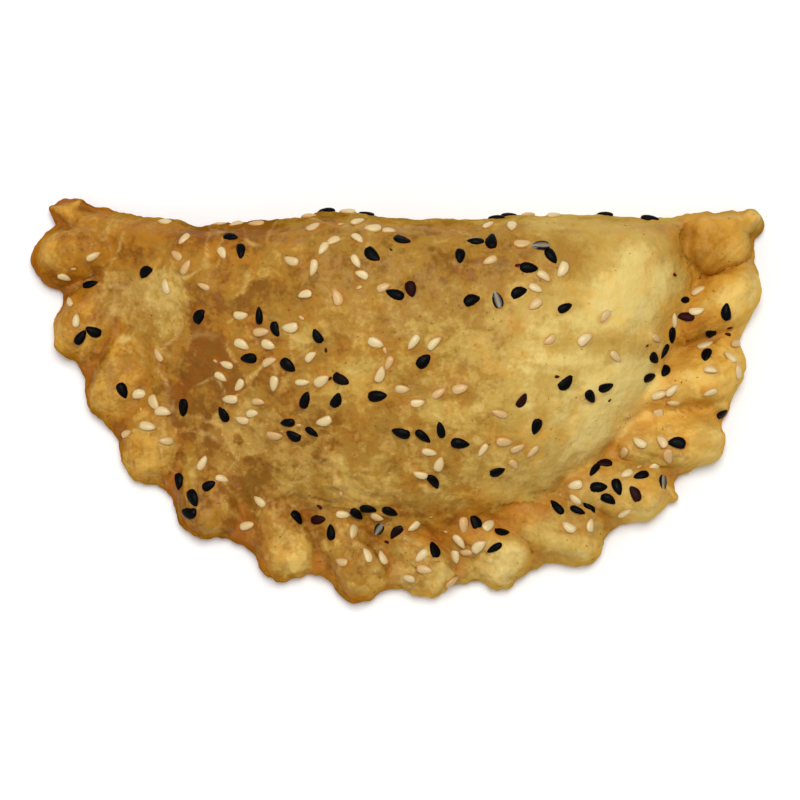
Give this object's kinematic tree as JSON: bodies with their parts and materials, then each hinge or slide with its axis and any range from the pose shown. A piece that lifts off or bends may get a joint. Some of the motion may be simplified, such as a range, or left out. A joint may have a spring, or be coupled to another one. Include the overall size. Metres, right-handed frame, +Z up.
{
  "type": "empanada",
  "caption": "Baked half-moon turnover with a twisted crimped rim, glazed and strewn with pale and dark sesame seeds; rests on its flat underside.",
  "frame": {"origin": "the middle of the box, on the surface that the turnover rests on", "axes": "+X along the fold to the right, +Y from the crimped arc to the fold, +Z up"},
  "size_m": [0.1474, 0.0814, 0.028],
  "materials": {
    "crust": "egg-glazed baked pastry, satin",
    "pale_sesame": "toasted hulled seed, matte",
    "dark_sesame": "unhulled seed, satin"
  },
  "bodies": {
    "root": {"empanada": "crust"}
  },
  "joints": []
}
